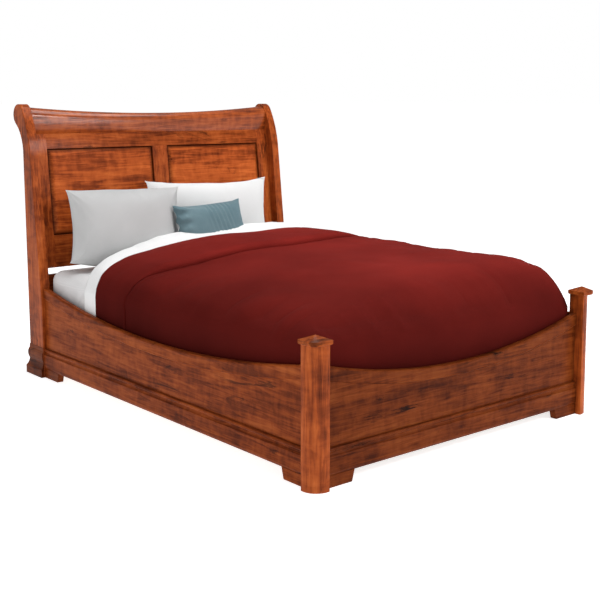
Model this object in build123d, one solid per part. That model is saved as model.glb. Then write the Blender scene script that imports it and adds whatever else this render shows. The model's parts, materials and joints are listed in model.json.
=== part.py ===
from build123d import *
import os

# Sleigh bed for a queen mattress, in millimetres.
# +Z is up, the headboard stands at +Y and the footboard at -Y. The origin is on the floor, in the
# middle of the footprint.

# ---- driving dimensions --------------------------------------------------------------------
overall_length = 2481.0
foot_width = 1680.0             # over the two foot posts
cap_overhang = 8.0
foot_front = -overall_length / 2 + cap_overhang

# foot posts
foot_post_side = 76.0
foot_post_corner = 67.0         # radius of the outer front corner
foot_post_height = 555.0
cap_side_height = 18.0
cap_peak = 18.0

# headboard posts: the front edge is vertical at first, then leans back into the scroll
head_half_width = 818.0
head_post_thickness = 50.0
head_front = foot_front + 2203.0
head_post_depth = 152.0
lean_height = 395.0             # where the front edge starts to lean back
lean_blend = 130.0
front_lean = 6.56               # degrees
front_bend = 600.0
back_lean = 0.9
back_bend_radius = 185.0
scroll_depth = 214.0            # centre of the scroll behind the post's front edge
scroll_height = 1362.0
scroll_radius = 56.0
plinth_height = 158.0

# headboard frame, all of it curved like the front edge of the posts
frame_setback = 52.0
frame_thickness = 28.0
slot_bottom = 527.0
slot_top = 562.0
panel_bottom = 730.0
panel_top = 1184.0
crest_bottom = 1262.0
outer_stile = 74.0
centre_stile = 96.0
panel_bevel = 30.0
tongue = 9.0
lower_rail_bottom = 300.0

# crest rail
crest_front = 155.0
crest_lip_front = 163.0
crest_lip_back = 189.0
crest_roll_radius = 50.0
crest_roll_height = 1352.0
crest_dip = 34.0

# side rails and footboard: one design, a board with a curved top band and a moulded base band
band_top_end = 470.0
band_top_middle = 366.0
band_height = 53.0
base_bottom = 47.0
base_top = 152.0
band_setback = 35.0
panel_setback = 41.0
base_setback = 25.0
board_back = 66.0
bracket_setback = 28.0
bracket_thickness = 33.0
bracket_top_width = 150.0
bracket_bottom_width = 137.0

# mattress, foundation and slatted base
mattress_width = 1510.0
mattress_length = 2032.0
mattress_height = 250.0
mattress_top = 562.0
foundation_height = 125.0
slat_thickness = 20.0
slat_width = 90.0
slat_count = 7
ledger_depth = 26.0
ledger_height = 40.0
beam_width = 60.0
beam_height = 40.0
leg_count = 3
leg_diameter = 50.0
pad_height = 6.0

# screws: shank diameter, length, head diameter, head height
ledger_screw_size = (5.0, 40.0, 10.0, 4.0)
ledger_screw_count = 6
ledger_screw_margin = 150.0     # from each end of the side rail
slat_screw_size = (4.5, 35.0, 9.0, 4.0)
plate_screw_size = (4.0, 22.0, 8.0, 2.5)
plate_screw_pitch = 60.0

# bedding; a pillow's size is its width, thickness and height
mattress_corner = 60.0
comforter_gap = 1.5             # from the boards round it
comforter_setback = 565.0       # its head edge, from the head end of the mattress
comforter_hem = 400.0
comforter_top = 698.0
comforter_corner = 60.0
comforter_roundness = 58.0
sheet_band = 120.0              # length of the turned-down sheet that shows
sheet_overhang = 9.0
sheet_rise = 60.0
sheet_roundness = 70.0
right_pillow_size = (790.0, 130.0, 440.0)
left_pillow_size = (670.0, 130.0, 430.0)
accent_pillow_size = (455.0, 95.0, 290.0)

# ---- derived places ------------------------------------------------------------------------
half_width = foot_width / 2
head_inner = head_half_width - head_post_thickness
foot_inner = half_width - foot_post_side
foot_back = foot_front + foot_post_side
rail_length = head_front - foot_back
rail_middle = (head_front + foot_back) / 2
foundation_top = mattress_top - mattress_height
slat_top = foundation_top - foundation_height
slat_bottom = slat_top - slat_thickness
mattress_head = head_front + 42.0
mattress_foot = mattress_head - mattress_length
rail_inside = half_width - board_back

parts = {}


def block(x0, x1, y0, y1, z0, z1):
    """A box from its two opposite corners."""
    size = Box(x1 - x0, y1 - y0, z1 - z0)
    return Pos((x0 + x1) / 2, (y0 + y1) / 2, (z0 + z1) / 2) * size


def prism_x(face, x0, x1):
    """A face drawn in depth and height, extruded from x0 to x1."""
    return extrude(Plane.YZ.offset(x0) * face, x1 - x0)


def mirrored(part):
    return mirror(part, Plane.YZ)


def both_sides(name, left):
    """Keeps a left-hand piece and its mirror image."""
    parts[name + "_left"] = left
    parts[name + "_right"] = mirrored(left)


def screw(diameter, length, head_diameter, head_height):
    """A countersunk wood screw that points along -Z, with the top of its head at the origin."""
    head = Pos(0, 0, -head_height / 2) * Cone(diameter / 2, head_diameter / 2, head_height)
    shank = Pos(0, 0, -length / 2) * Cylinder(diameter / 2, length)
    return head + shank


# ---- headboard posts -----------------------------------------------------------------------
def to_scroll(start, lean, bend_radius, scroll, side):
    """A straight line that leans back from start, then an arc that runs into the scroll's circle.

    The arc closes round the scroll when side is -1, and passes it outside when side is 1.
    """
    along = Vector(0, 1).rotate(Axis.Z, -lean)
    aside = Vector(1, 0).rotate(Axis.Z, -lean)
    gap = scroll - start
    reach = bend_radius + side * scroll_radius
    run = (reach**2 - (bend_radius - gap.dot(aside)) ** 2) ** 0.5
    bend = start + along * (gap.dot(along) - run)
    bend_centre = bend + aside * bend_radius
    join = scroll + (bend_centre - scroll).normalized() * scroll_radius * side
    return Line(start, bend), TangentArc(bend, join, tangent=along)


def head_edge(offset):
    """The front edge of the headboard posts from the floor to the scroll, moved back by offset."""
    y = head_front + offset
    scroll = Vector(y + scroll_depth, scroll_height)
    lean_start = Vector(y, lean_height) + Vector(0, lean_blend).rotate(Axis.Z, -front_lean)
    upright = Line((y, 0), (y, lean_height - lean_blend))
    first_bend = TangentArc(upright @ 1, lean_start, tangent=(0, 1))
    leaning, last_bend = to_scroll(lean_start, front_lean, front_bend, scroll, -1)
    return [upright, first_bend, leaning, last_bend]


def closed_outline(front_edge, back_edge):
    """A face between two edges that both run upwards."""
    top = Line(front_edge[-1] @ 1, back_edge[-1] @ 1)
    bottom = Line(back_edge[0] @ 0, front_edge[0] @ 0)
    return make_face(front_edge + [top] + back_edge + [bottom])


def head_post_outline():
    front = head_edge(0)
    scroll = Vector(head_front + scroll_depth, scroll_height)
    back_y = head_front + head_post_depth
    back_foot = Line((back_y, 0), (back_y, plinth_height))
    back_line, back_bend = to_scroll(back_foot @ 1, back_lean, back_bend_radius, scroll, 1)
    over = ThreePointArc(front[-1] @ 1, scroll + Vector(0, scroll_radius), back_bend @ 1)
    sole = Line((back_y, 0), (head_front, 0))
    return make_face(front + [over, back_bend, back_line, back_foot, sole])


def frame_slab(front, back, x0, x1, z0, z1):
    """A piece of the curved headboard, between two setbacks from the posts' front edge."""
    sheet = prism_x(closed_outline(head_edge(front), head_edge(back)), x0, x1)
    return sheet & block(x0, x1, head_front - 50, head_front + 400, z0, z1)


def edge_length_over(minimum):
    return lambda edge: edge.length > minimum


def make_head_posts():
    post = prism_x(head_post_outline(), -head_half_width, -head_inner)
    long_edges = post.faces().sort_by(Axis.X)[0].edges().filter_by(edge_length_over(200))
    post = fillet(long_edges, 4)
    return post


def frame_tongue(x0, x1, z0, z1):
    """The thin middle third of the frame, used for tongues and their grooves."""
    third = frame_thickness / 3
    return frame_slab(frame_setback + third, frame_setback + 2 * third, x0, x1, z0, z1)


frame_back = frame_setback + frame_thickness
stile_inner = head_inner - outer_stile
half_centre = centre_stile / 2

head_post = make_head_posts()
stile = frame_slab(frame_setback, frame_back, -head_inner, -stile_inner, slot_top, crest_bottom)
stile_tongue = frame_tongue(-head_inner - tongue, -head_inner, slot_top + 40, crest_bottom - 40)
lower_rail = frame_slab(frame_setback, frame_back, -head_inner, head_inner, lower_rail_bottom, slot_bottom)
lower_tenon = frame_tongue(-head_inner - 3 * tongue, -head_inner, lower_rail_bottom + 25, slot_bottom - 25)
head_post = head_post - stile_tongue - lower_tenon
lower_rail = lower_rail + lower_tenon + mirrored(lower_tenon)

upper_rail = frame_slab(frame_setback, frame_back, -stile_inner, stile_inner, panel_top, crest_bottom)
bottom_rail = frame_slab(frame_setback, frame_back, -stile_inner, stile_inner, slot_top, panel_bottom)
middle_stile = frame_slab(frame_setback, frame_back, -half_centre, half_centre, panel_bottom, panel_top)


def raised_panel():
    """The left-hand panel: a raised field, four bevelled edges and a tongue all round."""
    x0, x1 = -stile_inner, -half_centre
    edge = frame_setback + 9.0
    field = frame_setback - 3.0
    panel = frame_slab(field, frame_back - 4, x0, x1, panel_bottom, panel_top)
    # side bevels follow the curve of the board: a thick front layer swept towards the field
    waste = closed_outline(head_edge(-60), head_edge(edge))
    slope = Vector(panel_bevel, field - edge, 0)
    left_waste = extrude(Plane.YZ.offset(x0) * waste, amount=slope.length, dir=slope)
    slope_right = Vector(-panel_bevel, field - edge, 0)
    right_waste = extrude(Plane.YZ.offset(x1) * waste, amount=slope.length, dir=slope_right)
    panel = panel - left_waste - right_waste
    panel = panel - bevel_waste(edge, field, panel_top, -panel_bevel, x0, x1)
    panel = panel - bevel_waste(edge, field, panel_bottom, panel_bevel, x0, x1)
    return panel + frame_tongue(x0 - tongue, x1 + tongue, panel_bottom - tongue, panel_top + tongue)


def depth_at(offset, height):
    """Y of the leaning part of the headboard's face at a height."""
    lean_start, lean_end = head_edge(offset)[2] @ 0, head_edge(offset)[2] @ 1
    share = (height - lean_start.Y) / (lean_end.Y - lean_start.Y)
    return lean_start.X + share * (lean_end.X - lean_start.X)


def bevel_waste(edge, field, border, inset, x0, x1):
    """What a level bevel takes off the panel between its border and inset from it."""
    outer = (depth_at(edge, border), border)
    inner = (depth_at(field, border + inset), border + inset)
    ahead = head_front - 80
    wedge = Polyline(outer, inner, (ahead, border + inset), (ahead, border), close=True)
    return prism_x(make_face(wedge), x0, x1)


panel = raised_panel()
parts["headboard_lower_rail"] = lower_rail
both_sides("head_post", head_post)
panels = panel + mirrored(panel)
both_sides("headboard_stile", (stile + stile_tongue) - panels)
parts["headboard_upper_rail"] = upper_rail - panels
parts["headboard_bottom_rail"] = bottom_rail - panels
parts["headboard_centre_stile"] = middle_stile - panels
both_sides("headboard_panel", panel)


# ---- crest rail ----------------------------------------------------------------------------
def crest_section(x):
    """The rolled crest at x. Its lip is level, and its roll is smaller and lower in the middle."""
    share = 1 - (x / head_inner) ** 2
    radius = crest_roll_radius - 9 * share
    height = crest_roll_height - (crest_dip - 9) * share
    front = head_front + crest_front
    rear = front + 2 * radius
    lip_front = head_front + crest_lip_front
    lip_back = head_front + crest_lip_back
    face_line = Spline(
        (lip_front, crest_bottom), (front + 2.5, crest_bottom + 28), (front, height),
        tangents=[(-0.35, 1), (0, 1)],
    )
    roll = ThreePointArc((front, height), (front + radius, height + radius), (rear, height))
    tuck = Spline((rear, height), (lip_back, crest_bottom), tangents=[(0, -1), (-0.2, -1)])
    sole = Line((lip_back, crest_bottom), (lip_front, crest_bottom))
    return Plane.YZ.offset(x) * make_face(face_line + roll + tuck + sole)


stations = [-head_inner, -head_inner / 2, 0, head_inner / 2, head_inner]
parts["crest_rail"] = loft([crest_section(x) for x in stations])


# ---- plinths under the headboard posts -----------------------------------------------------
def plinth_profile(start, stop_inside):
    """The plinth's moulding: start is the post's face, and the moulding stands out from it."""
    outline = Polyline((stop_inside, 0), (start + 24, 0), (start + 24, 40))
    flare = ThreePointArc((start + 24, 40), (start + 11, 58), (start + 4, 82))
    bulge = ThreePointArc((start + 4, 82), (start + 13, 112), (start + 3, 140))
    neck = Polyline((start + 3, 140), (start + 3, 158), (stop_inside, 158), (stop_inside, 0))
    return make_face(outline + flare + bulge + neck)


plinth_reach = 14.0 / 24.0
side_moulding = plinth_profile(0, -head_post_thickness)
back_y = head_front + head_post_depth
back_moulding = prism_x(plinth_profile(back_y, head_front), -head_half_width - 40, -head_inner)
side_plane = Plane(origin=(-head_half_width, head_front, 0), x_dir=(-1, 0, 0), z_dir=(0, 1, 0))
squeezed = scale(side_moulding, by=(plinth_reach, 1, 1))
side_block = extrude(side_plane * squeezed, head_post_depth + 40)
plinth = (side_block & back_moulding) - block(-head_half_width, 0, head_front, back_y, 0, 200)
both_sides("head_plinth", plinth)


# ---- boards of the sides and the foot ------------------------------------------------------
def top_curve(half):
    """Radius and centre height of the arc along the top of a board of this half length."""
    rise = band_top_end - band_top_middle
    radius = (half**2 + rise**2) / (2 * rise)
    return radius, band_top_middle + radius


def extruded_back(face, front, back):
    """A face drawn along X and Z, extruded from the setback front to the setback back."""
    plane = Plane(origin=(0, front, 0), x_dir=(1, 0, 0), z_dir=(0, -1, 0))
    return extrude(plane * face, -(back - front))


def top_band(half):
    """The band along the top: its eased section turned about the centre of the arc."""
    radius, centre_z = top_curve(half)
    top = band_top_middle
    low = band_top_middle - band_height
    front = band_setback
    section = Polyline(
        (front, low + 4), (front, top - 8), (front + 2.5, top - 2.5), (front + 8, top),
        (board_back - 6, top), (board_back, top - 6), (board_back, low), (front + 4, low), close=True,
    )
    spread = 2 * (half / radius) * 60
    hub = Axis((0, 0, centre_z), (0, 1, 0))
    face = Plane.YZ * make_face(section)
    ring = revolve(face.rotate(hub, -spread), axis=hub, revolution_arc=2 * spread)
    return ring & block(-half, half, 0, board_back + 1, 0, band_top_end + 50)


def board(half):
    """The flat board below the band."""
    radius, centre_z = top_curve(half)
    radius = radius + band_height
    end_z = centre_z - (radius**2 - half**2) ** 0.5
    curve = ThreePointArc((-half, end_z), (0, centre_z - radius), (half, end_z))
    low = base_bottom + 6
    rest = Polyline((half, end_z), (half, low), (-half, low), (-half, end_z))
    return extruded_back(make_face(curve + rest), panel_setback, board_back)


def base_band(half):
    """The moulded band at the bottom: a bevel, a flat, a cove and a round bead at the top."""
    back = panel_setback
    front = base_setback
    foot_line = Polyline((back, base_bottom), (front + 5, base_bottom), (front, base_bottom + 11))
    flat = Line((front, base_bottom + 11), (front, base_top - 30))
    cove = ThreePointArc(
        (front, base_top - 30), (front + 6, base_top - 24), (front + 8, base_top - 14)
    )
    bead = ThreePointArc((front + 8, base_top - 14), (front + 3.5, base_top - 7), (front + 9, base_top))
    close = Polyline((front + 9, base_top), (back, base_top), (back, base_bottom))
    return prism_x(make_face(foot_line + flat + cove + bead + close), -half, half)


def bracket(at_end):
    """A tapered foot under the base band. at_end is the post's face, and the foot points to +X."""
    outline = Polyline(
        (at_end, 0), (at_end + bracket_bottom_width, 0), (at_end + bracket_top_width, base_bottom),
        (at_end, base_bottom), close=True,
    )
    foot = extruded_back(make_face(outline), bracket_setback, bracket_setback + bracket_thickness)
    return chamfer(foot.faces().sort_by(Axis.Z)[0].edges(), 1.5)


foot_place = Pos(0, foot_front, 0)
left_side_place = Pos(-half_width, rail_middle, 0) * Rot(0, 0, -90)
half_rail = rail_length / 2

parts["footboard_panel"] = foot_place * board(foot_inner)
parts["footboard_top_band"] = foot_place * top_band(foot_inner)
parts["footboard_base_band"] = foot_place * base_band(foot_inner)
both_sides("side_rail", left_side_place * board(half_rail))
both_sides("side_rail_top_band", left_side_place * top_band(half_rail))
both_sides("side_rail_base_band", left_side_place * base_band(half_rail))
both_sides("footboard_bracket", foot_place * bracket(-foot_inner))
side_bracket = bracket(-half_rail)
both_sides("head_side_bracket", left_side_place * side_bracket)
both_sides("foot_side_bracket", left_side_place * mirrored(side_bracket))


# ---- foot posts and caps -------------------------------------------------------------------
def post_plan(side, corner, other):
    """A square with one large corner radius, at the outer front corner, and small ones."""
    plan = Rectangle(side, side)
    outer = plan.vertices().group_by(Axis.X)[0].sort_by(Axis.Y)[0]
    plan = fillet(outer, corner)
    inner_side = plan.vertices().group_by(Axis.X)[-1]
    inner_back = inner_side.sort_by(Axis.Y)[-1]
    return fillet(inner_back, other)


post_x = -half_width + foot_post_side / 2
post_y = foot_front + foot_post_side / 2
foot_post = extrude(post_plan(foot_post_side, foot_post_corner, 3), foot_post_height)
foot_post = chamfer(foot_post.faces().sort_by(Axis.Z)[0].edges(), 2)
foot_post = Pos(post_x, post_y, 0) * foot_post

cap_side = foot_post_side + 2 * cap_overhang
cap_plan = post_plan(cap_side, 34, 8)
cap_block = extrude(cap_plan, cap_side_height)
cap_block = fillet(cap_block.faces().sort_by(Axis.Z)[0].edges(), 7)
pyramid_base = Plane.XY.offset(cap_side_height) * cap_plan
pyramid_top = Plane.XY.offset(cap_side_height + cap_peak) * scale(cap_plan, by=0.04)
cap = cap_block + loft([pyramid_base, pyramid_top])
both_sides("post_cap", Pos(post_x, post_y, foot_post_height) * cap)

foot_tenon = block(-foot_inner - 25, -foot_inner, foot_front + 46, foot_front + 60, 90, 400)
parts["footboard_panel"] = parts["footboard_panel"] + foot_tenon + mirrored(foot_tenon)
foot_post = foot_post - foot_tenon

# ---- bed-rail fasteners: hook plates in the rail ends, slotted plates in the posts ----------
plate_thickness = 3.0
plate_width = 18.0
plate_height = 140.0
plate_middle = 260.0
hook_offsets = (-40.0, 40.0)
rail_centre_x = -half_width + (panel_setback + board_back) / 2
plate_z0 = plate_middle - plate_height / 2
plate_z1 = plate_middle + plate_height / 2


def end_plate(face_y, inward):
    """A plate let into a face at face_y. inward is the way into the piece that holds it."""
    y0, y1 = sorted((face_y, face_y + inward * plate_thickness))
    return block(
        rail_centre_x - plate_width / 2, rail_centre_x + plate_width / 2, y0, y1, plate_z0, plate_z1
    )


def hooks(face_y, outward):
    """Two flat hooks that reach out of the rail's end into the post."""
    y0, y1 = sorted((face_y, face_y + outward * 14))
    tip0, tip1 = sorted((face_y + outward * 8, face_y + outward * 14))
    pair = []
    for offset in hook_offsets:
        z = plate_middle + offset
        arm = block(rail_centre_x - 2, rail_centre_x + 2, y0, y1, z - 8, z + 8)
        drop = block(rail_centre_x - 2, rail_centre_x + 2, tip0, tip1, z - 20, z - 8)
        pair.append(arm + drop)
    return pair


def hook_pockets(face_y, outward):
    """The room in the post, behind the slots, for the hooks."""
    y0, y1 = sorted((face_y, face_y + outward * 18))
    pockets = []
    for offset in hook_offsets:
        z = plate_middle + offset
        pockets.append(block(rail_centre_x - 4, rail_centre_x + 4, y0, y1, z - 24, z + 12))
    return pockets


rail = parts["side_rail_left"]
hook_plates = []
slot_plates = []
for face_y, outward in ((head_front, 1), (foot_back, -1)):
    rail_plate = end_plate(face_y, -outward)
    post_plate = end_plate(face_y, outward)
    rail = rail - rail_plate
    hook_plate = rail_plate
    for hook in hooks(face_y, outward):
        hook_plate = hook_plate + hook
    hook_plates.append(hook_plate)
    pockets = hook_pockets(face_y, outward)
    slotted = post_plate
    for pocket in pockets:
        slotted = slotted - pocket
    slot_plates.append(slotted)
    for waste in [post_plate] + pockets:
        if outward > 0:
            head_post = head_post - waste
        else:
            foot_post = foot_post - waste
both_sides("side_rail", rail)
both_sides("foot_post", foot_post)
both_sides("head_post", head_post)


def group(solids):
    """Identical pieces on both sides, kept as separate solids of one node."""
    return Compound(children=[s for left in solids for s in (left, mirrored(left))])


parts["rail_hook_plates"] = group(hook_plates)
parts["post_slot_plates"] = group(slot_plates)

# ---- slatted base --------------------------------------------------------------------------
ledger = block(
    -rail_inside, -rail_inside + ledger_depth, foot_back + 30, head_front - 30,
    slat_bottom - ledger_height, slat_bottom,
)
both_sides("rail_ledger", chamfer(ledger.edges().filter_by(Axis.Y), 2))

slats = []
slat_pitch = (mattress_length - 2 * slat_width) / (slat_count - 1)
for i in range(slat_count):
    y = mattress_foot + slat_width + i * slat_pitch
    slat = block(
        -rail_inside + 4, rail_inside - 4, y - slat_width / 2, y + slat_width / 2, slat_bottom, slat_top
    )
    slats.append(chamfer(slat.edges().filter_by(Axis.X), 2))
parts["slats"] = Compound(children=slats)

beam = block(
    -beam_width / 2, beam_width / 2, mattress_foot, mattress_head, slat_bottom - beam_height, slat_bottom
)
parts["centre_beam"] = chamfer(beam.edges().filter_by(Axis.Y), 2)

leg_top = slat_bottom - beam_height
legs = []
pads = []
for i in range(leg_count):
    y = mattress_foot + mattress_length * (i + 0.5) / leg_count
    leg = Pos(0, y, (leg_top + pad_height) / 2) * Cylinder(leg_diameter / 2, leg_top - pad_height)
    legs.append(chamfer(leg.edges().sort_by(Axis.Z)[0], 2))
    pads.append(Pos(0, y, pad_height / 2) * Cylinder(leg_diameter / 2 - 5, pad_height))
parts["centre_legs"] = Compound(children=legs)
parts["leg_pads"] = Compound(children=pads)

# ---- screws --------------------------------------------------------------------------------
ledger_screw = screw(*ledger_screw_size)
ledger_screw_run = rail_length - 2 * ledger_screw_margin
ledger_screws = []
for i in range(ledger_screw_count):
    y = foot_back + ledger_screw_margin + i * ledger_screw_run / (ledger_screw_count - 1)
    place = Pos(-rail_inside + ledger_depth, y, slat_bottom - ledger_height / 2) * Rot(0, 90, 0)
    ledger_screws.append(place * ledger_screw)
parts["ledger_screws"] = group(ledger_screws)

slat_screw = screw(*slat_screw_size)
slat_screws = []
for i in range(slat_count):
    y = mattress_foot + slat_width + i * slat_pitch
    slat_screws.append(Pos(-rail_inside + ledger_depth / 2 + 2, y, slat_top) * slat_screw)
parts["slat_screws"] = group(slat_screws)

plate_screw = screw(*plate_screw_size)
hook_plate_screws = []
for face_y, outward in ((head_front, 1), (foot_back, -1)):
    for offset in (-plate_screw_pitch, 0.0, plate_screw_pitch):
        place = Pos(rail_centre_x, face_y, plate_middle + offset)
        hook_plate_screws.append(place * Rot(outward * -90, 0, 0) * plate_screw)
parts["hook_plate_screws"] = group(hook_plate_screws)


def cut_for(name, tools):
    for tool in tools:
        parts[name] = parts[name] - tool


cut_for("rail_ledger_left", ledger_screws + slat_screws)
parts["rail_ledger_right"] = mirrored(parts["rail_ledger_left"])
cut_for("side_rail_left", ledger_screws + hook_plate_screws)
parts["side_rail_right"] = mirrored(parts["side_rail_left"])
drilled = []
for slat in slats:
    for hole in slat_screws:
        if abs(hole.center().Y - slat.center().Y) < slat_width / 2:
            slat = slat - hole - mirrored(hole)
    drilled.append(slat)
parts["slats"] = Compound(children=drilled)
drilled_plates = []
for plate in hook_plates:
    for hole in hook_plate_screws:
        if abs(hole.center().Y - plate.center().Y) < 60:
            plate = plate - hole
    drilled_plates.append(plate)
parts["rail_hook_plates"] = group(drilled_plates)


# ---- mattress and bedding ------------------------------------------------------------------
def soft_box(x0, x1, y0, y1, z0, z1, corner, edge):
    """A box with round upright corners and softened top and bottom edges."""
    solid = block(x0, x1, y0, y1, z0, z1)
    solid = fillet(solid.edges().filter_by(Axis.Z), corner)
    rims = solid.faces().filter_by(Axis.Z).edges()
    return fillet(rims, edge)


half_mattress = mattress_width / 2
mattress_plan = (-half_mattress, half_mattress, mattress_foot, mattress_head)
parts["foundation"] = soft_box(*mattress_plan, slat_top, foundation_top, mattress_corner, 12)
mattress = soft_box(*mattress_plan, foundation_top, mattress_top, mattress_corner, 28)
parts["mattress"] = mattress

comforter_head = mattress_head - comforter_setback
comforter_foot = foot_front + board_back + comforter_gap
comforter_side = rail_inside - comforter_gap
comforter = block(
    -comforter_side, comforter_side, comforter_foot, comforter_head, comforter_hem, comforter_top
)
comforter = fillet(comforter.edges().filter_by(Axis.Z).group_by(Axis.Y)[0], comforter_corner)
comforter = fillet(comforter.faces().sort_by(Axis.Z)[-1].edges(), comforter_roundness)
parts["comforter"] = comforter - mattress

sheet_head = comforter_head + sheet_band
sheet_side = half_mattress + sheet_overhang
sheet_block = block(
    -sheet_side, sheet_side, comforter_head + 1, sheet_head, comforter_hem, mattress_top + sheet_rise
)
sheet_ribs = sheet_block.edges().filter_by(Axis.Y).group_by(Axis.Z)[-1]
parts["top_sheet"] = fillet(sheet_ribs, sheet_roundness) - mattress


def cushion(size, edge):
    """A plump pillow standing on its long side."""
    return fillet(Box(*size).edges(), edge)


pillow_z = mattress_top + 1.0


def lean(pillow, x, y, angle):
    """Stands a pillow on the mattress, leaning back by angle."""
    turned = Pos(x, y, 0) * Rot(-angle, 0, 0) * pillow
    return Pos(0, 0, pillow_z - turned.bounding_box().min.Z) * turned


parts["pillow_right"] = lean(cushion(right_pillow_size, 60), 205, head_front + 8, 9)
parts["pillow_left"] = lean(cushion(left_pillow_size, 60), -385, head_front - 142, 13)
parts["accent_pillow"] = lean(cushion(accent_pillow_size, 44), 62, head_front - 304, 17)

# ---- one file for each piece ---------------------------------------------------------------
os.makedirs("parts", exist_ok=True)
for name, part in parts.items():
    part.label = name
    export_step(part, f"parts/{name}.step")
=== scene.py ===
import json
import math

import bpy
import bmesh
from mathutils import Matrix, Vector, noise

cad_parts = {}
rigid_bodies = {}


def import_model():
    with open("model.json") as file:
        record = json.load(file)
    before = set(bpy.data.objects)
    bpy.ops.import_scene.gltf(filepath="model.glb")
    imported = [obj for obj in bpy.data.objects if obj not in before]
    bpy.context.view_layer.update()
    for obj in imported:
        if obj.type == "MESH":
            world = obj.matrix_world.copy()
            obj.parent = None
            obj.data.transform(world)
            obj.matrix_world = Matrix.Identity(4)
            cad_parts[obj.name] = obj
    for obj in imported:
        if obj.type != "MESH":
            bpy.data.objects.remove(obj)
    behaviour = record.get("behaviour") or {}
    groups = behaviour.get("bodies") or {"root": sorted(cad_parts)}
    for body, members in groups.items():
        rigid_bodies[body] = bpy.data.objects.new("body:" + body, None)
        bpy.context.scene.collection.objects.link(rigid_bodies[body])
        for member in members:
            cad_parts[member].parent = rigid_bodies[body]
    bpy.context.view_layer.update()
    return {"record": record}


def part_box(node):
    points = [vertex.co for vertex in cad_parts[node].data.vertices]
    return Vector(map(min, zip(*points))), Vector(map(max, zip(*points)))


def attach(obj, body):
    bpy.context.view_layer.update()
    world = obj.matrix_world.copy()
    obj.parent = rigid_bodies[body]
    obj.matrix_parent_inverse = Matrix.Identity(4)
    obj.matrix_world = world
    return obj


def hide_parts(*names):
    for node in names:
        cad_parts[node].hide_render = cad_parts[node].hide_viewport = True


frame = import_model()

# ---- places read from the frame ----------------------------------------------------------------
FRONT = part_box("foot_post_left")[0][1]          # front face of the foot posts
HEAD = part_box("head_post_left")[0][1]           # front edge of the headboard posts
mat_low, mat_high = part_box("mattress")
fnd_low, fnd_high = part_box("foundation")
com_low, com_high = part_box("comforter")
TOP = mat_high[2]
stile_low, stile_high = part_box("headboard_centre_stile")
PANEL_INNER = stile_high[0]
PANEL_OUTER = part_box("headboard_stile_right")[0][0]
PANEL_LOW = stile_low[2]
PANEL_HIGH = stile_high[2]


# ---- material helpers --------------------------------------------------------------------------
def new_material(name):
    mat = bpy.data.materials.new(name)
    mat.use_nodes = True
    tree = mat.node_tree
    shader = tree.nodes["Principled BSDF"]
    return mat, tree, shader


def node(tree, kind, inputs=None, **settings):
    made = tree.nodes.new(kind)
    for key, value in settings.items():
        setattr(made, key, value)
    for key, value in (inputs or {}).items():
        if isinstance(value, bpy.types.NodeSocket):
            tree.links.new(value, made.inputs[key])
        else:
            made.inputs[key].default_value = value
    return made


def ramp(tree, source, stops):
    made = tree.nodes.new("ShaderNodeValToRGB")
    tree.links.new(source, made.inputs[0])
    elements = made.color_ramp.elements
    while len(elements) < len(stops):
        elements.new(0.5)
    for element, (place, colour) in zip(elements, stops):
        element.position = place
        element.color = (*colour, 1.0)
    return made.outputs["Color"]


def grey(value):
    return (value, value, value)


def mix(tree, kind, factor, a, b):
    made = tree.nodes.new("ShaderNodeMix")
    made.data_type = "RGBA"
    made.blend_type = kind
    for index, value in ((0, factor), (6, a), (7, b)):
        if isinstance(value, bpy.types.NodeSocket):
            tree.links.new(value, made.inputs[index])
        elif index == 0:
            made.inputs[0].default_value = value
        else:
            made.inputs[index].default_value = (*value, 1.0)
    return made.outputs[2]


def piece_coordinates(tree, scale):
    """Coordinates in metres, shifted by a different amount on each piece, then scaled."""
    place = node(tree, "ShaderNodeTexCoord").outputs["Object"]
    lot = node(tree, "ShaderNodeObjectInfo").outputs["Random"]
    shift = node(tree, "ShaderNodeVectorMath", {0: lot, 1: (31.0, 47.0, 71.0)}, operation="MULTIPLY")
    moved = node(tree, "ShaderNodeVectorMath", {0: place, 1: shift.outputs[0]}, operation="ADD")
    scaled = node(tree, "ShaderNodeVectorMath", {0: moved.outputs[0], 1: scale}, operation="MULTIPLY")
    return scaled.outputs[0]


def bump(tree, height, strength, distance, normal=None):
    inputs = {"Height": height, "Strength": strength, "Distance": distance}
    if normal is not None:
        inputs["Normal"] = normal
    return node(tree, "ShaderNodeBump", inputs).outputs[0]


def noise_at(tree, vector, scale, detail=4.0, rough=0.55, distortion=0.0):
    made = node(
        tree, "ShaderNodeTexNoise",
        {"Vector": vector, "Scale": scale, "Detail": detail, "Roughness": rough, "Distortion": distortion},
    )
    return made.outputs["Fac"]


STAIN_DARK = (0.075, 0.0125, 0.0030)
STAIN_DEEP = (0.190, 0.0340, 0.0066)
STAIN_MID = (0.330, 0.0640, 0.0118)
STAIN_LIGHT = (0.480, 0.1130, 0.0230)
STREAK = (0.020, 0.0050, 0.0020)
SOFT_SPECULAR = 0.03           # a stronger one veils the colours with the white floor
VARNISH_ROUGHNESS = 0.16
SHADE_RAMP_SCALE = 20.0             # the ramp of the panels' painted corner shade spans 1 / 20 m


def stretched(axis, across, along):
    """Texture scales, with their own value along the grain."""
    scales = [across, across, across]
    scales[axis] = along
    return scales


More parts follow.
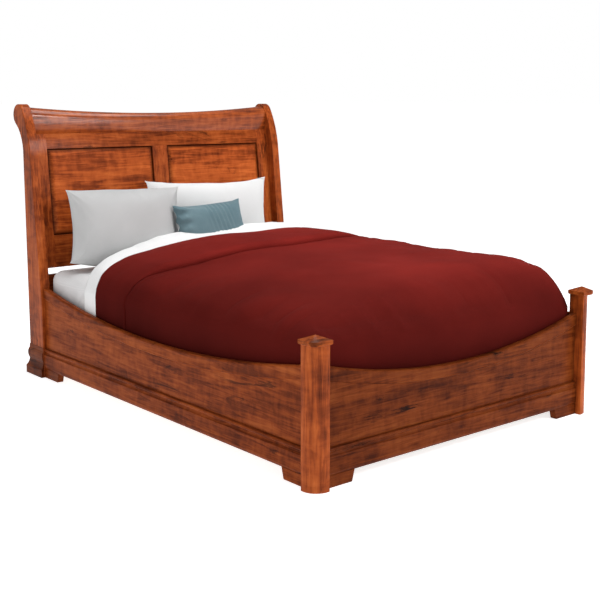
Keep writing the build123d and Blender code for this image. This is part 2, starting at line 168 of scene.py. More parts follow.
def shade_in_panel_corners(tree):
    """Painted shade: darker where the headboard's panels meet their frame, as the groove there lies in
    shadow.
    """
    place = node(tree, "ShaderNodeTexCoord").outputs["Object"]
    parts = node(tree, "ShaderNodeSeparateXYZ", {0: place}).outputs

    def calc(kind, a, b=0.0):
        return node(tree, "ShaderNodeMath", {0: a, 1: b}, operation=kind).outputs[0]

    aside = calc("ABSOLUTE", parts["X"])
    near = calc("MINIMUM", calc("SUBTRACT", aside, PANEL_INNER), calc("SUBTRACT", PANEL_OUTER, aside))
    level = parts["Z"]
    upright = calc("MINIMUM", calc("SUBTRACT", level, PANEL_LOW), calc("SUBTRACT", PANEL_HIGH, level))
    away = calc("MULTIPLY", calc("MINIMUM", near, upright), SHADE_RAMP_SCALE)
    return ramp(tree, away, [(0.08, grey(0.10)), (0.24, grey(0.45)), (0.55, grey(0.95)), (0.75, grey(1.0))])


def stained_wood(name, axis, tone_and_light=1.0, streaks=0.5, gloss=0.10, corner_shade=None):
    """Reddish-brown stained maple under satin varnish, with its grain along one axis."""
    mat, tree, shader = new_material(name)
    cloud = piece_coordinates(tree, stretched(axis, 4.2, 1.1))
    tone = noise_at(tree, cloud, 2.1, 3.0, 0.5, 0.6)
    grain = noise_at(tree, piece_coordinates(tree, stretched(axis, 24.0, 1.5)), 3.0, 6.0, 0.60, 0.9)
    mottle = noise_at(tree, piece_coordinates(tree, stretched(axis, 6.0, 12.0)), 2.4, 3.0, 0.55, 0.4)
    thread = noise_at(tree, piece_coordinates(tree, stretched(axis, 95.0, 3.0)), 6.0, 3.0, 0.6)
    blend = node(tree, "ShaderNodeMath", {0: tone, 1: 0.38}, operation="MULTIPLY").outputs[0]
    blend = node(tree, "ShaderNodeMath", {0: grain, 1: 0.42, 2: blend}, operation="MULTIPLY_ADD").outputs[0]
    blend = node(tree, "ShaderNodeMath", {0: mottle, 1: 0.20, 2: blend}, operation="MULTIPLY_ADD").outputs[0]
    base_colour = ramp(tree, blend, [
        (0.35, STAIN_DARK), (0.44, STAIN_DEEP), (0.52, STAIN_MID), (0.64, STAIN_LIGHT),
    ])
    pores = ramp(tree, thread, [(0.30, grey(0.70)), (0.50, grey(1.0))])
    base_colour = mix(tree, "MULTIPLY", 0.5, base_colour, pores)
    knots = noise_at(tree, cloud, 1.6, 6.0, 0.70, 1.4)
    mask = ramp(tree, knots, [(0.605, grey(0.0)), (0.66, grey(streaks))])
    base_colour = mix(tree, "MIX", mask, base_colour, STREAK)
    # painted light and shade: each copy of the wood is darker or lighter for how the light falls on its
    # pieces, on top of its own tone
    base_colour = mix(tree, "MULTIPLY", 1.0, base_colour, grey(tone_and_light))
    # on the panels, painted shade in the corners by the frame
    if corner_shade:
        base_colour = mix(tree, "MULTIPLY", 1.0, base_colour, corner_shade(tree))
    tree.links.new(base_colour, shader.inputs["Base Color"])
    rough = ramp(tree, grain, [(0.3, grey(0.46)), (0.7, grey(0.34))])
    tree.links.new(rough, shader.inputs["Roughness"])
    shader.inputs["Coat Weight"].default_value = gloss
    shader.inputs["Coat Roughness"].default_value = VARNISH_ROUGHNESS
    shader.inputs["Specular IOR Level"].default_value = SOFT_SPECULAR
    tree.links.new(bump(tree, thread, 0.12, 0.0006), shader.inputs["Normal"])
    return mat


def plain_wood(name):
    mat, tree, shader = new_material(name)
    lines = piece_coordinates(tree, (2.0, 14.0, 14.0))
    grain = noise_at(tree, lines, 4.0, 6.0, 0.6, 0.6)
    colour = ramp(tree, grain, [(0.3, (0.42, 0.25, 0.12)), (0.6, (0.66, 0.46, 0.26))])
    tree.links.new(colour, shader.inputs["Base Color"])
    shader.inputs["Roughness"].default_value = 0.62
    tree.links.new(bump(tree, grain, 0.2, 0.0006), shader.inputs["Normal"])
    return mat


def zinc_steel(name):
    mat, tree, shader = new_material(name)
    place = piece_coordinates(tree, (1.0, 1.0, 1.0))
    cloudy = noise_at(tree, place, 60.0, 3.0)
    colour = ramp(tree, cloudy, [(0.3, grey(0.44)), (0.7, grey(0.62))])
    rough = ramp(tree, cloudy, [(0.3, grey(0.32)), (0.7, grey(0.5))])
    tree.links.new(colour, shader.inputs["Base Color"])
    tree.links.new(rough, shader.inputs["Roughness"])
    shader.inputs["Metallic"].default_value = 1.0
    return mat


def pad_plastic(name):
    mat, tree, shader = new_material(name)
    place = piece_coordinates(tree, (1.0, 1.0, 1.0))
    grainy = noise_at(tree, place, 900.0, 2.0)
    colour = ramp(tree, grainy, [(0.3, grey(0.03)), (0.7, grey(0.055))])
    tree.links.new(colour, shader.inputs["Base Color"])
    shader.inputs["Roughness"].default_value = 0.7
    tree.links.new(bump(tree, grainy, 0.2, 0.0003), shader.inputs["Normal"])
    return mat


def woven(name, dark, light, thread, sheen, rough, relief_mm, crumple=0.0, cloud_size=2.0, painted_height_shade=None):
    """Woven cloth: crossing threads, cloudy colour and, with crumple in mm, a light crumple."""
    mat, tree, shader = new_material(name)
    place = node(tree, "ShaderNodeTexCoord").outputs["Object"]

    def yarns(direction):
        settings = {"Vector": place, "Scale": thread, "Distortion": 0.6, "Detail": 1.0}
        made = node(tree, "ShaderNodeTexWave", settings, wave_type="BANDS", bands_direction=direction)
        return made.outputs["Fac"]

    warp = yarns("X")
    weft = yarns("DIAGONAL")
    weave = node(tree, "ShaderNodeMath", {0: warp, 1: weft}, operation="MULTIPLY").outputs[0]
    cloudy = noise_at(tree, place, cloud_size, 4.0, 0.55)
    colour = ramp(tree, cloudy, [(0.32, dark), (0.68, light)])
    threads = ramp(tree, weave, [(0.0, grey(0.86)), (0.6, grey(1.0))])
    colour = mix(tree, "MULTIPLY", 0.7, colour, threads)
    # painted shade and light: the colour darkens low down and lightens on top
    if painted_height_shade:
        level = node(tree, "ShaderNodeSeparateXYZ", {0: place}).outputs["Z"]
        colour = mix(tree, "MULTIPLY", 1.0, colour, ramp(tree, level, painted_height_shade))
    tree.links.new(colour, shader.inputs["Base Color"])
    shader.inputs["Roughness"].default_value = rough
    shader.inputs["Sheen Weight"].default_value = sheen
    shader.inputs["Sheen Roughness"].default_value = 0.45
    shader.inputs["Specular IOR Level"].default_value = SOFT_SPECULAR
    surface = bump(tree, weave, 0.35, relief_mm / 1000)
    if crumple:
        fold = noise_at(tree, place, 9.0, 5.0, 0.5, 0.8)
        surface = bump(tree, fold, 0.6, crumple / 1000, surface)
    tree.links.new(surface, shader.inputs["Normal"])
    return mat


# name: grain axis, tone and light, streaks, gloss and, on the panels, the painted corner shade; tone and
# light is partly the wood's own tone and partly painted light and shade for how the light falls on each piece
WOODS = {
    "stained_wood_across": (0, 0.80, 0.6, 0.05),
    "stained_wood_along": (1, 0.66, 0.7, 0.02),
    "stained_wood_upright": (2, 0.95, 0.6, 0.12),
    # the panels are lightened, the plinth and footboard darkened: partly their own tone, partly painted light
    # and shade
    "panel_wood": (0, 1.16, 0.6, 0.06, shade_in_panel_corners),
    "crest_wood": (0, 0.85, 0.3, 0.60),
    "plinth_wood_shaded": (1, 0.42, 0.6, 0.06),
    "footboard_wood_shaded": (0, 0.40, 0.95, 0.02),
}
COTTON = {"thread": 620.0, "rough": 0.85, "relief_mm": 0.15, "crumple": 1.5}
FABRICS = {
    "foundation_fabric": {
        "dark": grey(0.60), "light": grey(0.68), "thread": 420.0, "sheen": 0.2,
        "rough": 0.9, "relief_mm": 0.3},
    "fitted_sheet_cotton": {"dark": (0.66, 0.65, 0.65), "light": (0.74, 0.73, 0.73), "sheen": 0.15, **COTTON},
    "comforter_fabric": {
        "dark": (0.125, 0.0100, 0.0078), "light": (0.180, 0.0145, 0.0110), "thread": 520.0, "sheen": 0.0,
        "rough": 0.95, "relief_mm": 0.2, "crumple": 2.0,
        # painted shade low down and painted light on top of the quilt
        "painted_height_shade": [(0.40, grey(0.36)), (0.56, grey(0.58)), (0.655, grey(0.90)), (0.70, grey(1.25))]},
    "sheet_cotton": {"dark": grey(0.74), "light": grey(0.80), "sheen": 0.10, **COTTON},
    # the two pillows are of one cloth: the darker pillow_cotton on the left pillow, a lighter copy on the
    # right; the difference between them is painted light and shade
    "pillow_cotton": {"dark": grey(0.42), "light": grey(0.50), "sheen": 0.10, **COTTON},
    "pillow_cloth_lighter": {"dark": grey(0.64), "light": grey(0.71), "sheen": 0.10, **COTTON},
    "accent_fabric": {
        "dark": (0.100, 0.168, 0.195), "light": (0.140, 0.215, 0.240), "thread": 480.0, "sheen": 0.2,
        "rough": 0.5, "relief_mm": 0.2, "crumple": 1.0, "cloud_size": 6.0},
}
MATERIALS = {name: stained_wood(name, *recipe) for name, recipe in WOODS.items()}
MATERIALS["plain_wood"] = plain_wood("plain_wood")
MATERIALS["zinc_steel"] = zinc_steel("zinc_steel")
MATERIALS["pad_plastic"] = pad_plastic("pad_plastic")
MATERIALS.update({name: woven(name, **recipe) for name, recipe in FABRICS.items()})


def look_of(name, slot):
    """The finish of a frame piece: its slot's own, or its own darker or glossier copy, whose darkness is
    partly the piece's own tone and partly painted shade.
    """
    if name.startswith("footboard"):
        return "footboard_wood_shaded"
    if name == "crest_rail":
        return "crest_wood"
    if name.startswith(("head_plinth", "head_side_bracket")):
        return "plinth_wood_shaded"
    return slot


for entry in frame["record"]["subparts"]:
    part = bpy.data.objects[entry["node"]]
    part.data.materials.clear()
    part.data.materials.append(MATERIALS[look_of(entry["node"], entry["material_slot"])])


# ---- mesh helpers ------------------------------------------------------------------------------
def finish_piece(obj, slot, material=None):
    bpy.context.scene.collection.objects.link(obj)
    obj.data.materials.append(MATERIALS[material or slot])
    obj.data.polygons.foreach_set("use_smooth", [True] * len(obj.data.polygons))
    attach(obj, "root")
    return obj


def mesh_object(name, verts, faces):
    mesh = bpy.data.meshes.new(name)
    mesh.from_pydata([tuple(v) for v in verts], [], faces)
    mesh.validate()
    mesh.update()
    tidy = bmesh.new()
    tidy.from_mesh(mesh)
    bmesh.ops.recalc_face_normals(tidy, faces=tidy.faces)
    tidy.to_mesh(mesh)
    tidy.free()
    return bpy.data.objects.new(name, mesh)


def ease(x):
    x = min(1.0, max(0.0, x))
    return x * x * (3.0 - 2.0 * x)


def through(points, x):
    """The value at x on the straight lines through a few (place, value) points."""
    if x <= points[0][0]:
        return points[0][1]
    for (x0, y0), (x1, y1) in zip(points, points[1:]):
        if x <= x1:
            return y0 + (y1 - y0) * (x - x0) / (x1 - x0)
    return points[-1][1]


def grid_faces(rows, columns):
    """Faces of a grid with rows + 1 by columns + 1 points, stored row by row."""
    width = columns + 1
    faces = []
    for j in range(rows):
        for i in range(columns):
            a = j * width + i
            faces.append((a, a + 1, a + width + 1, a + width))
    return faces


def hang(verts, faces, rim, hem_of, steps, flipped=False):
    """Hangs a wall of faces from a line of points down to its hem."""
    upper = rim
    for k in range(1, steps + 1):
        lower = []
        for index in rim:
            top = verts[index]
            lower.append(len(verts))
            verts.append(Vector((top.x, top.y, top.z + (hem_of(top) - top.z) * k / steps)))
        for a, b, c, d in zip(upper, upper[1:], lower[1:], lower):
            faces.append((a, b, c, d) if flipped else (a, d, c, b))
        upper = lower


def soft_box(name, low, high, radius, step, crown=0.0, ripple=0.0):
    """A rounded box of small faces, a little crowned on top and rippled on its sides."""
    low, high = Vector(low), Vector(high)
    counts = [max(2, round((high[i] - low[i]) / step)) for i in range(3)]
    index = {}
    verts = []
    faces = []

    def place(i, j, k):
        key = (i, j, k)
        if key not in index:
            raw = Vector([low[a] + (high[a] - low[a]) * key[a] / counts[a] for a in range(3)])
            inner = Vector([min(max(raw[a], low[a] + radius[a]), high[a] - radius[a]) for a in range(3)])
            away = Vector([(raw[a] - inner[a]) / radius[a] for a in range(3)])
            if away.length > 1e-6:
                biggest = max(abs(c) for c in away)
                away = away.normalized() * biggest
            point = Vector([inner[a] + away[a] * radius[a] for a in range(3)])
            u = (point.x - low.x) / (high.x - low.x) * 2 - 1
            v = (point.y - low.y) / (high.y - low.y) * 2 - 1
            lift = crown * (1 - u * u) * (1 - v * v)
            top = ease((point.z - low.z) / (high.z - low.z))
            wave = noise.noise(point * 7.0) * ripple * (1 - top)
            outward = 1 if u > 0 else -1
            point.z += lift * top - crown * top
            point.x += (wave - ripple * 0.6) * outward
            index[key] = len(verts)
            verts.append(point)
        return index[key]

    for axis in range(3):
        one, two = (axis + 1) % 3, (axis + 2) % 3
        for end in (0, counts[axis]):
            for i in range(counts[one]):
                for j in range(counts[two]):
                    corner = []
                    for di, dj in ((0, 0), (1, 0), (1, 1), (0, 1)):
                        key = [0, 0, 0]
                        key[axis] = end
                        key[one] = i + di
                        key[two] = j + dj
                        corner.append(place(*key))
                    faces.append(corner if end else corner[::-1])
    return mesh_object(name, verts, faces)


# ---- foundation and mattress -------------------------------------------------------------------
foundation = soft_box(
    "box_foundation", fnd_low, fnd_high, (0.05, 0.05, 0.02), 0.03)
finish_piece(foundation, "foundation_fabric")
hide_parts("foundation")

mattress = soft_box(
    "mattress_in_fitted_sheet", mat_low, (mat_high[0], mat_high[1], TOP - 0.002), (0.06, 0.06, 0.055), 0.022,
    crown=0.003, ripple=0.003)
finish_piece(mattress, "fitted_sheet_cotton")
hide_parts("mattress")


# ---- comforter ---------------------------------------------------------------------------------
COM_SIDE = com_high[0] - 0.001
COM_FOOT = com_low[1] + 0.001
COM_HEM = 0.335
BASE = 0.40                    # the dome's height at the rails
CROWN = 0.697                  # the dome's height in the middle
CORNER = 0.045                 # rounding of the foot corners in plan
COVER_ROUND = 0.085            # radius of the quilt where it turns down over the mattress
COVER_GAP = 0.014              # filling between the mattress and the quilt's surface
COVER_BLEND = 0.03             # over this height the two shapes of the quilt melt together
CORNER_FILL = 0.35             # how far the dome's foot corners are filled out
FOLD_REACH = 0.30              # how far folds run in from a tucked edge
FOLD_DEPTH = 0.024
FOLD_EASE_RIGHT = 0.018        # folds are this much shallower on the right side
CREASE = FRONT + 1.385         # where the cuff's hem lies on the quilt
# rise of the dome, as a share of its height, against the distance in from an edge
LEFT_RISE = [(0.0, 0.20), (0.012, 0.42), (0.042, 0.61), (0.09, 0.70), (0.14, 0.755), (0.25, 0.81),
             (0.37, 0.86), (0.50, 0.92), (0.65, 0.97), (0.80, 1.0), (3.0, 1.0)]
RIGHT_RISE = [(0.0, 0.25), (0.008, 0.62), (0.022, 0.92), (0.05, 0.995), (0.12, 1.035), (0.25, 1.04),
              (0.50, 1.015), (0.80, 1.0), (3.0, 1.0)]
LEFT_FOOT = [(0.0, 0.20), (0.02, 0.40), (0.05, 0.58), (0.10, 0.74), (0.16, 0.85), (0.24, 0.93),
             (0.36, 0.98), (0.60, 1.0), (3.0, 1.0)]
RIGHT_FOOT = [(0.0, 0.20), (0.012, 0.42), (0.045, 0.60), (0.09, 0.78), (0.15, 0.91), (0.22, 0.97),
              (0.32, 1.0), (3.0, 1.0)]
COLUMNS = 150


def smooth_through(points, x):
    """The line through the points, smoothed over a short stretch."""
    width = 0.010 + 0.16 * min(0.25, max(0.0, x))
    total = 0.0
    for offset, weight in ((-1.0, 1.0), (-0.5, 2.0), (0.0, 3.0), (0.5, 2.0), (1.0, 1.0)):
        total += through(points, x + offset * width) * weight
    return total / 9.0


def covering(side, foot):
    """Lowest height at which the quilt clears the mattress below it."""
    a = max(0.0, 1 - side / COVER_ROUND)
    b = max(0.0, 1 - foot / COVER_ROUND)
    return TOP + COVER_GAP - COVER_ROUND * (1 - math.sqrt(max(0.0, 1 - min(1.0, a * a + b * b))))


def dome(x, y):
    """Height of the comforter's top surface."""
    left = smooth_through(LEFT_RISE, COM_SIDE + x)
    right = smooth_through(RIGHT_RISE, COM_SIDE - x)
    share = ease(0.5 + x / (2 * COM_SIDE))
    foot = smooth_through(LEFT_FOOT, y - COM_FOOT) * (1 - share)
    foot += smooth_through(RIGHT_FOOT, y - COM_FOOT) * share
    side = left * right
    form = BASE + (CROWN - BASE) * (side * foot + CORNER_FILL * min(side, foot) * (1 - max(side, foot)))
    over = covering(COM_SIDE - abs(x), y - COM_FOOT)
    spread = max(0.0, 0.5 - abs(form - over) / COVER_BLEND)
    return max(form, over) + COVER_BLEND * spread * spread / 2


def folds(run):
    """Upright folds along a tucked edge: broad swells and a few sharp pinches."""
    swell = noise.noise(Vector((run * 4.3, 3.1, 0.0))) + 0.5 * noise.noise(Vector((run * 10.0, 7.7, 0.0)))
    pinch = max(0.0, 1.0 - abs(noise.noise(Vector((run * 2.9, 11.3, 0.0)))) * 9.0)
    small = max(0.0, 1.0 - abs(noise.noise(Vector((run * 7.0, 21.3, 0.0)))) * 7.0)
    return swell - 0.9 * pinch - 0.4 * small


def across(i):
    u = i / COLUMNS * 2 - 1
    return math.copysign(abs(u) ** 0.8, u)


def plan(u, v):
    """A place in plan: u from -1 to 1 across, v from 0 at the foot to 1 at the crease."""
    x = u * COM_SIDE
    y = COM_FOOT + v * (CREASE - COM_FOOT)
    side = COM_SIDE - abs(x)
    foot = y - COM_FOOT
    if side < CORNER and foot < CORNER:
        p = 1 - side / CORNER
        q = 1 - foot / CORNER
        x = math.copysign(COM_SIDE - CORNER + CORNER * p * math.sqrt(1 - q * q / 2), x)
        y = COM_FOOT + CORNER - CORNER * q * math.sqrt(1 - p * p / 2)
    return x, y


def drift(x, y):
    """Slow unevenness of the filling, nothing at the edges."""
    soft = noise.noise(Vector((x * 2.2, y * 1.7, 1.0))) * 0.011
    soft += noise.noise(Vector((x * 5.5, y * 4.0, 5.0))) * 0.004
    soft += noise.noise(Vector((x * 14.0, y * 11.0, 8.0))) * 0.0012
    return soft * ease((COM_SIDE - abs(x)) / 0.18) * ease((y - COM_FOOT) / 0.18)


def quilt_top(x, y):
    side = COM_SIDE - abs(x)
    foot = y - COM_FOOT
    near = min(side, foot)
    share = ease((side - foot) / 0.2 + 0.5)
    wave = folds(x + 20.0) * share + folds(y + (3.0 if x > 0 else 9.0)) * (1 - share)
    reach = FOLD_REACH + 0.08 * noise.noise(Vector((x * 3.0, y * 3.0, 2.0)))
    depth = FOLD_DEPTH - FOLD_EASE_RIGHT * ease(0.5 + (x - 0.45) / 0.3)
    press = ease(1.0 - near / reach) * ease(near / 0.03 + 0.25) * wave * depth
    height = dome(x, y) + drift(x, y) + press
    return Vector((x, y, max(height, covering(side, foot) - 0.005)))


def crease_bow(u):
    return 0.045 * u * u


def cuff_end(u):
    return FRONT + 1.845 - 0.13 * abs(u) ** 2.8


# section along the bed over the cuff's hem: (distance from the crease towards the head, rise)
HEM_STEPS = [(0.0, -0.004), (0.014, -0.022), (0.026, -0.048), (0.023, -0.028), (0.013, -0.006),
             (0.014, 0.012), (0.026, 0.024), (0.046, 0.031), (0.076, 0.031)]
UNDER = TOP + 0.003            # the underside of the quilt where it lies on the mattress


BODY_ROWS = 110
CUFF_ROWS = 26
FOLD_ROWS = 12


def body_rows():
    """Rows of points from the foot to the crease under the cuff."""
    rows = []
    for j in range(BODY_ROWS + 1):
        v = (j / BODY_ROWS) ** 1.2
        pull = ease((v - 0.55) / 0.45)
        row = []
        for i in range(COLUMNS + 1):
            u = across(i)
            point = quilt_top(*plan(u, v))
            point.y += crease_bow(u) * pull
            row.append(point)
        rows.append(row)
    return rows


def cuff_point(u, step, rise, t):
    """A point on the cuff: a step from the crease on its hem, or a share t of the way to its head fold."""
    x = u * COM_SIDE
    start = CREASE + crease_bow(u)
    first = start + HEM_STEPS[-1][0]
    y = start + step if step is not None else first + (cuff_end(u) - first) * t
    side = COM_SIDE - abs(x)
    edge = ease(side / 0.24) * 0.9 + 0.1
    ragged = noise.noise(Vector((x * 5.0, 2.0, 4.0))) * 0.008 * (1 - t)
    bulge = math.sin(math.pi * t) * 0.007
    side_fold = folds(y + 40.0) * 0.008 * ease(1 - side / 0.25) * ease(side / 0.03)
    z = dome(x, start) + drift(x, y) + (rise * (1 - 0.35 * t) + bulge) * edge + side_fold
    return Vector((x, y + ragged, z))


def cuff_rows():
    steps = [(step, rise, 0.0) for step, rise in HEM_STEPS[1:]]
    steps += [(None, HEM_STEPS[-1][1], k / CUFF_ROWS) for k in range(1, CUFF_ROWS + 1)]
    return [[cuff_point(across(i), *step) for i in range(COLUMNS + 1)] for step in steps]


def fold_rows(last):
    """The head fold: half round, downwards on top of the bed and inwards at its sides."""
    lanes = []
    for i, point in enumerate(last):
        before, after = last[max(0, i - 1)], last[min(COLUMNS, i + 1)]
        normal = Vector((before.z - after.z, 0.0, after.x - before.x)).normalized()
        if i in (0, COLUMNS):
            normal = Vector((-1.0 if i == 0 else 1.0, 0.0, 0.0))
        side = COM_SIDE - abs(point.x)
        depth = max(0.012, (point.z - UNDER) * ease(side / 0.16))
        lanes.append((point, normal, depth))
    rows = []
    for k in range(1, FOLD_ROWS + 1):
        angle = math.pi * k / FOLD_ROWS
        row = []
        for point, normal, depth in lanes:
            reach = min(0.045, 0.008 + depth * 0.42)
            moved = point - normal * depth * (1 - math.cos(angle)) / 2
            moved.y += reach * math.sin(angle) ** 0.85
            row.append(moved)
        rows.append(row)
    return rows


def quilt():
    rows = body_rows() + cuff_rows()
    rows += fold_rows(rows[-1])
    verts = [point for row in rows for point in row]
    width = COLUMNS + 1
    faces = grid_faces(len(rows) - 1, COLUMNS)
    rim = [j * width for j in range(len(rows) - 1, -1, -1)]
    rim += list(range(1, width))
    rim += [j * width + COLUMNS for j in range(1, len(rows))]
    hang(verts, faces, rim, lambda top: min(COM_HEM, top.z - 0.02), 6)
    return verts, faces


comforter = mesh_object("comforter_quilt", *quilt())
finish_piece(comforter, "comforter_fabric")
shell = comforter.modifiers.new("cloth", "SOLIDIFY")
shell.thickness = 0.006
shell.offset = -1.0
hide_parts("comforter")


# ---- top sheet, turned down over the mattress ---------------------------------------------------
SHEET_ROWS = 26
SHEET_RISE = 0.62              # share of the band that rises; the rest turns down at its back
# height of the band's crest against the distance from the bed's middle
LEFT_CREST = [(0.0, 0.742), (0.15, 0.733), (0.30, 0.720), (0.47, 0.684), (0.62, 0.650), (0.70, 0.617),
              (0.74, 0.590), (0.762, 0.530), (0.775, 0.440)]
RIGHT_CREST = [(0.0, 0.742), (0.20, 0.750), (0.45, 0.752), (0.62, 0.742), (0.70, 0.70), (0.74, 0.63),
               (0.762, 0.545), (0.775, 0.440)]


def turned_sheet():
    """A loosely folded band: it comes out from under the cuff, swells, and turns down at its back."""
    half = COM_SIDE - 0.002
    verts = []
    for j in range(SHEET_ROWS + 1):
        t = j / SHEET_ROWS
        for i in range(COLUMNS + 1):
            u = across(i)
            x = u * half
            start = cuff_end(u) - 0.03
            width = 0.215 - 0.065 * abs(u) ** 2.2
            crest = smooth_through(LEFT_CREST if x < 0 else RIGHT_CREST, abs(x))
            crest += noise.noise(Vector((x * 4.0, 1.0, 6.0))) * 0.005 * ease((half - abs(x)) / 0.1)
            front = min(crest - 0.028, dome(x, CREASE) - 0.006)
            floor_z = min(UNDER + 0.001, crest - 0.012)
            if t < SHEET_RISE:
                y = start + width * t
                z = front + (crest - front) * math.sin(t / SHEET_RISE * math.pi / 2) ** 0.8
            else:
                turn = (t - SHEET_RISE) / (1 - SHEET_RISE)
                y = start + width * (SHEET_RISE + (1 - SHEET_RISE) * turn ** 0.8)
                z = floor_z + (crest - floor_z) * math.sqrt(max(0.0, 1 - turn ** 2.4))
            ripple = noise.noise(Vector((x * 16.0, y * 5.0, 3.0))) * 0.0035
            ripple += noise.noise(Vector((x * 6.0, y * 16.0, 9.0))) * 0.0035
            z += ripple * ease((half - abs(x)) / 0.08)
            verts.append(Vector((x, y, z)))
    faces = grid_faces(SHEET_ROWS, COLUMNS)
    # both ends hang down inside the rails
    for end in (0, COLUMNS):
        rim = [j * (COLUMNS + 1) + end for j in range(SHEET_ROWS + 1)]
        hang(verts, faces, rim, lambda top: COM_HEM + 0.02, 4, flipped=end > 0)
    return verts, faces


top_sheet = mesh_object("top_sheet_turned_down", *turned_sheet())
finish_piece(top_sheet, "sheet_cotton")
thick = top_sheet.modifiers.new("cloth", "SOLIDIFY")
thick.thickness = 0.003
thick.offset = -1.0
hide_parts("top_sheet")


# ---- pillows -----------------------------------------------------------------------------------
def swell(obj, pressure=4.0, frames=16, cap=0.010):
    """Blows a sewn cover up a little with a short cloth simulation, so that it puckers at its seam."""
    scene = bpy.context.scene
    scene.collection.objects.link(obj)
    rest = [v.co.copy() for v in obj.data.vertices]
    cloth = obj.modifiers.new("fill", "CLOTH")
    cloth.settings.quality = 5
    cloth.settings.mass = 0.3
    cloth.settings.tension_stiffness = 15.0
    cloth.settings.compression_stiffness = 15.0
    cloth.settings.shear_stiffness = 5.0
    cloth.settings.bending_stiffness = 0.5
    cloth.settings.use_pressure = True
    cloth.settings.uniform_pressure_force = pressure
    cloth.settings.effector_weights.gravity = 0.0
    cloth.settings.air_damping = 3.0
    cloth.collision_settings.use_collision = False
    cloth.point_cache.frame_start = 1
    cloth.point_cache.frame_end = frames
    for step in range(1, frames + 1):
        scene.frame_set(step)
    shaped = obj.evaluated_get(bpy.context.evaluated_depsgraph_get()).data
    moved = [v.co.copy() for v in shaped.vertices]
    obj.modifiers.clear()
    for v, start, end in zip(obj.data.vertices, rest, moved):
        step = end - start
        if step.length > cap:
            step *= cap / step.length
        v.co = start + step
    scene.frame_set(1)
    scene.collection.objects.unlink(obj)


def crowded(i, count):
    """A place from -1 to 1, with the places closer together near both ends."""
    reach = 0.43 * math.pi
    return math.sin((i / count * 2 - 1) * reach) / math.sin(reach)


def pillow(name, size, cells, pull, wrinkle, seed, slot, material, shape=None):
    """A filled pillow standing in the XZ plane, its two sides meeting in a seam.

    pull says how far the seam bows in at the ends, the top and the bottom.
    """
    width, thickness, height = size
    nx = round(width / cells)
    nz = round(height / cells)
    verts = []
    faces = []
    index = {}
    for layer in (-1, 1):
        for j in range(nz + 1):
            for i in range(nx + 1):
                edge = i in (0, nx) or j in (0, nz)
                key = (i, j, 0 if edge else layer)
                if key in index:
                    continue
                u = crowded(i, nx)
                w = crowded(j, nz)
                x = u * width / 2 * (1 - pull[0] * (1 - w * w) * abs(u) ** 3)
                squeeze = pull[1] if w > 0 else pull[2]
                z = w * height / 2 * (1 - squeeze * (1 - u * u) * abs(w) ** 3)
                fill = ((1 - abs(u) ** 2.6) * (1 - abs(w) ** 2.6)) ** 0.62 * (1.0 - 0.16 * w)
                end_gap = (1 - abs(u)) * width / 2
                seam_gap = (1 - abs(w)) * height / 2
                rim = min(end_gap, seam_gap)
                corner = math.hypot(end_gap, seam_gap)
                turn = math.atan2(seam_gap, end_gap)
                quarter = math.copysign(5.0, u) + math.copysign(2.0, w)
                pucker = noise.noise(Vector((x * 34.0, z * 34.0, seed))) * math.exp(-rim / 0.035)
                radial = noise.noise(Vector((turn * 4.5, seed + 3.0, quarter)))
                radial *= math.exp(-corner / 0.11) * (1 - math.exp(-corner / 0.02))
                slack = noise.noise(Vector((x * 4.0, z * 4.0, seed + 7.0)))
                relief = wrinkle * (1.2 * pucker + 3.0 * radial + 1.6 * slack) * min(1.0, rim / 0.012)
                relief += shape(u, w) * min(1.0, rim / 0.012) if shape else 0.0
                y = 0.0 if edge else layer * (fill * thickness / 2 + 0.002 + relief)
                wave = noise.noise(Vector((x * 5.0 + seed, z * 5.0, 1.0))) * 0.006
                index[key] = len(verts)
                verts.append(Vector((x, y + wave, z + wave * 0.8 * abs(w))))
    for layer in (-1, 1):
        for j in range(nz):
            for i in range(nx):
                corners = []
                for di, dj in ((0, 0), (1, 0), (1, 1), (0, 1)):
                    a, b = i + di, j + dj
                    edge = a in (0, nx) or b in (0, nz)
                    corners.append(index[(a, b, 0 if edge else layer)])
                faces.append(corners if layer < 0 else corners[::-1])
    obj = mesh_object(name, verts, faces)
    swell(obj)
    finish_piece(obj, slot, material)
    return obj


def lean_back(obj, tilt, roll, place):
    """Rolls a pillow in its plane, leans it back and sets its lowest point at place."""
    lean = math.radians(tilt)
    spin = math.radians(roll)
    for v in obj.data.vertices:
        x, y, z = v.co
        x, z = x * math.cos(spin) - z * math.sin(spin), x * math.sin(spin) + z * math.cos(spin)
        y, z = y * math.cos(lean) + z * math.sin(lean), z * math.cos(lean) - y * math.sin(lean)
        v.co = (x, y, z)
    low = min(v.co.z for v in obj.data.vertices)
    for v in obj.data.vertices:
        v.co.x += place[0]
        v.co.y += place[1]
        v.co.z += place[2] - low
    smoother = obj.modifiers.new("smooth", "SUBSURF")
    smoother.levels = 1
    smoother.render_levels = 1


def accent_pleats(u, w):
    """Upright pleats bowed across the right half, and gathers at the left end."""
    bow = u * 52.0 - 2.2 * (1 - w * w) + 1.5 * math.sin(w * 3.0)
    pleats = 0.0040 * math.sin(bow) * ease((u + 0.30) / 0.25) * ease((0.62 - u) / 0.22)
    gathers = 0.010 * math.sin(w * 15.0 + 2.0) * ease((-u - 0.55) / 0.35)
    return pleats + gathers


left_pillow = pillow(
    "pillow_left_soft", size=(0.695, 0.165, 0.395), cells=0.010, pull=(0.075, 0.030, -0.20),
    wrinkle=0.0026, seed=4.0, slot="pillow_cotton", material="pillow_cotton")
lean_back(left_pillow, 8.0, -1.4, (-0.388, HEAD - 0.135, TOP + 0.004))
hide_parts("pillow_left")

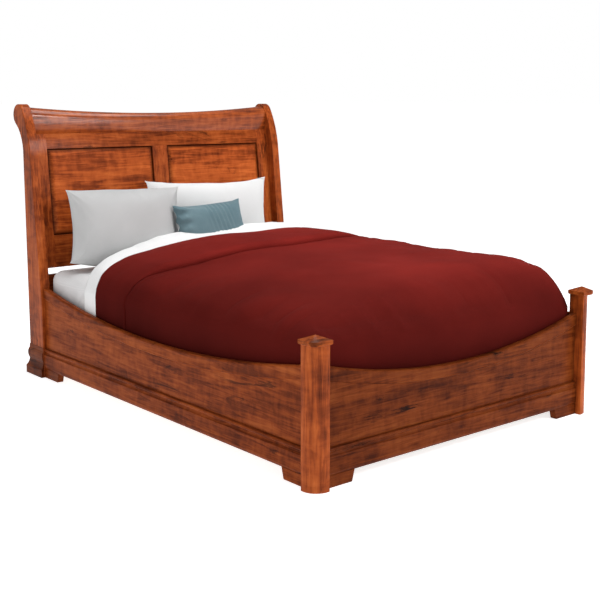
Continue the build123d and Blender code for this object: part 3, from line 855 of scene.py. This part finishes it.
# the right pillow wears the lighter copy of the pillows' cloth: painted light
right_pillow = pillow(
    "pillow_right_soft", size=(0.845, 0.140, 0.43), cells=0.010, pull=(0.050, 0.15, -0.05),
    wrinkle=0.0028, seed=9.0, slot="pillow_cotton", material="pillow_cloth_lighter")
lean_back(right_pillow, 6.0, -1.2, (0.240, HEAD, TOP - 0.006))
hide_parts("pillow_right")

accent = pillow(
    "accent_pillow_soft", size=(0.455, 0.115, 0.285), cells=0.006, pull=(0.06, 0.04, 0.04),
    wrinkle=0.0016, seed=15.0, slot="accent_fabric", material="accent_fabric", shape=accent_pleats)
lean_back(accent, 17.0, 2.0, (0.082, HEAD - 0.245, TOP + 0.045))
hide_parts("accent_pillow")


# ---- floor, light and camera -------------------------------------------------------------------
floor_mesh = bpy.data.meshes.new("studio_floor")
FLOOR_SIDE = 800.0
floor_corners = [
    (x * FLOOR_SIDE / 2, y * FLOOR_SIDE / 2, 0) for x, y in ((-1, -1), (1, -1), (1, 1), (-1, 1))
]
floor_mesh.from_pydata(floor_corners, [], [(0, 1, 2, 3)])
floor = bpy.data.objects.new("studio_floor", floor_mesh)
bpy.context.scene.collection.objects.link(floor)
floor_mat, floor_tree, floor_shader = new_material("studio_floor")
floor_shader.inputs["Base Color"].default_value = (*grey(0.80), 1.0)
floor_shader.inputs["Roughness"].default_value = 0.9
floor_shader.inputs["Specular IOR Level"].default_value = 0.0
floor_shader.inputs["Emission Color"].default_value = (*grey(1.0), 1.0)
floor_shader.inputs["Emission Strength"].default_value = 0.74
floor.data.materials.append(floor_mat)

world = bpy.context.scene.world or bpy.data.worlds.new("studio")
bpy.context.scene.world = world
world.use_nodes = True
sky = world.node_tree.nodes["Background"]
way = node(world.node_tree, "ShaderNodeTexCoord").outputs["Generated"]
height = node(world.node_tree, "ShaderNodeSeparateXYZ", {0: way}).outputs["Z"]
room = ramp(world.node_tree, height, [(0.10, grey(1.0)), (0.20, grey(0.40)), (0.60, grey(0.34))])
world.node_tree.links.new(room, sky.inputs["Color"])
sky.inputs["Strength"].default_value = 1.0


def area_light(name, place, target, size, power):
    data = bpy.data.lights.new(name, "AREA")
    data.shape = "RECTANGLE"
    data.size, data.size_y = size
    data.energy = power
    lamp = bpy.data.objects.new(name, data)
    lamp.location = place
    lamp.rotation_euler = (Vector(target) - Vector(place)).to_track_quat("-Z", "Y").to_euler()
    bpy.context.scene.collection.objects.link(lamp)


area_light("key_front_right", (1.9, -4.9, 3.3), (0, 0.2, 0.7), (1.7, 1.3), 130)
area_light("overhead", (0.5, 0.1, 4.3), (0, 0.1, 0.5), (2.6, 2.6), 120)
area_light("crest_gleam", (2.5, -4.6, 0.98), (-0.4, 1.1, 1.33), (1.2, 0.55), 17)
area_light("fill_left", (-5.2, -2.2, 2.6), (0, 0, 0.6), (2.2, 2.4), 60)

# the camera is fitted to the corners of the bed in the photo
camera_tilt = 6.893
camera_turn = 39.965
camera_data = bpy.data.cameras.new("camera")
camera_data.lens = 64.49
camera_data.sensor_width = 36.0
camera_data.shift_x = -0.0117
camera_data.shift_y = -0.115
camera = bpy.data.objects.new("camera", camera_data)
camera.location = (-3.2858, -4.1109, 1.4339)
camera.rotation_euler = (math.radians(90 - camera_tilt), 0, math.radians(-camera_turn))
bpy.context.scene.collection.objects.link(camera)
bpy.context.scene.camera = camera
bpy.context.scene.view_settings.view_transform = "Standard"
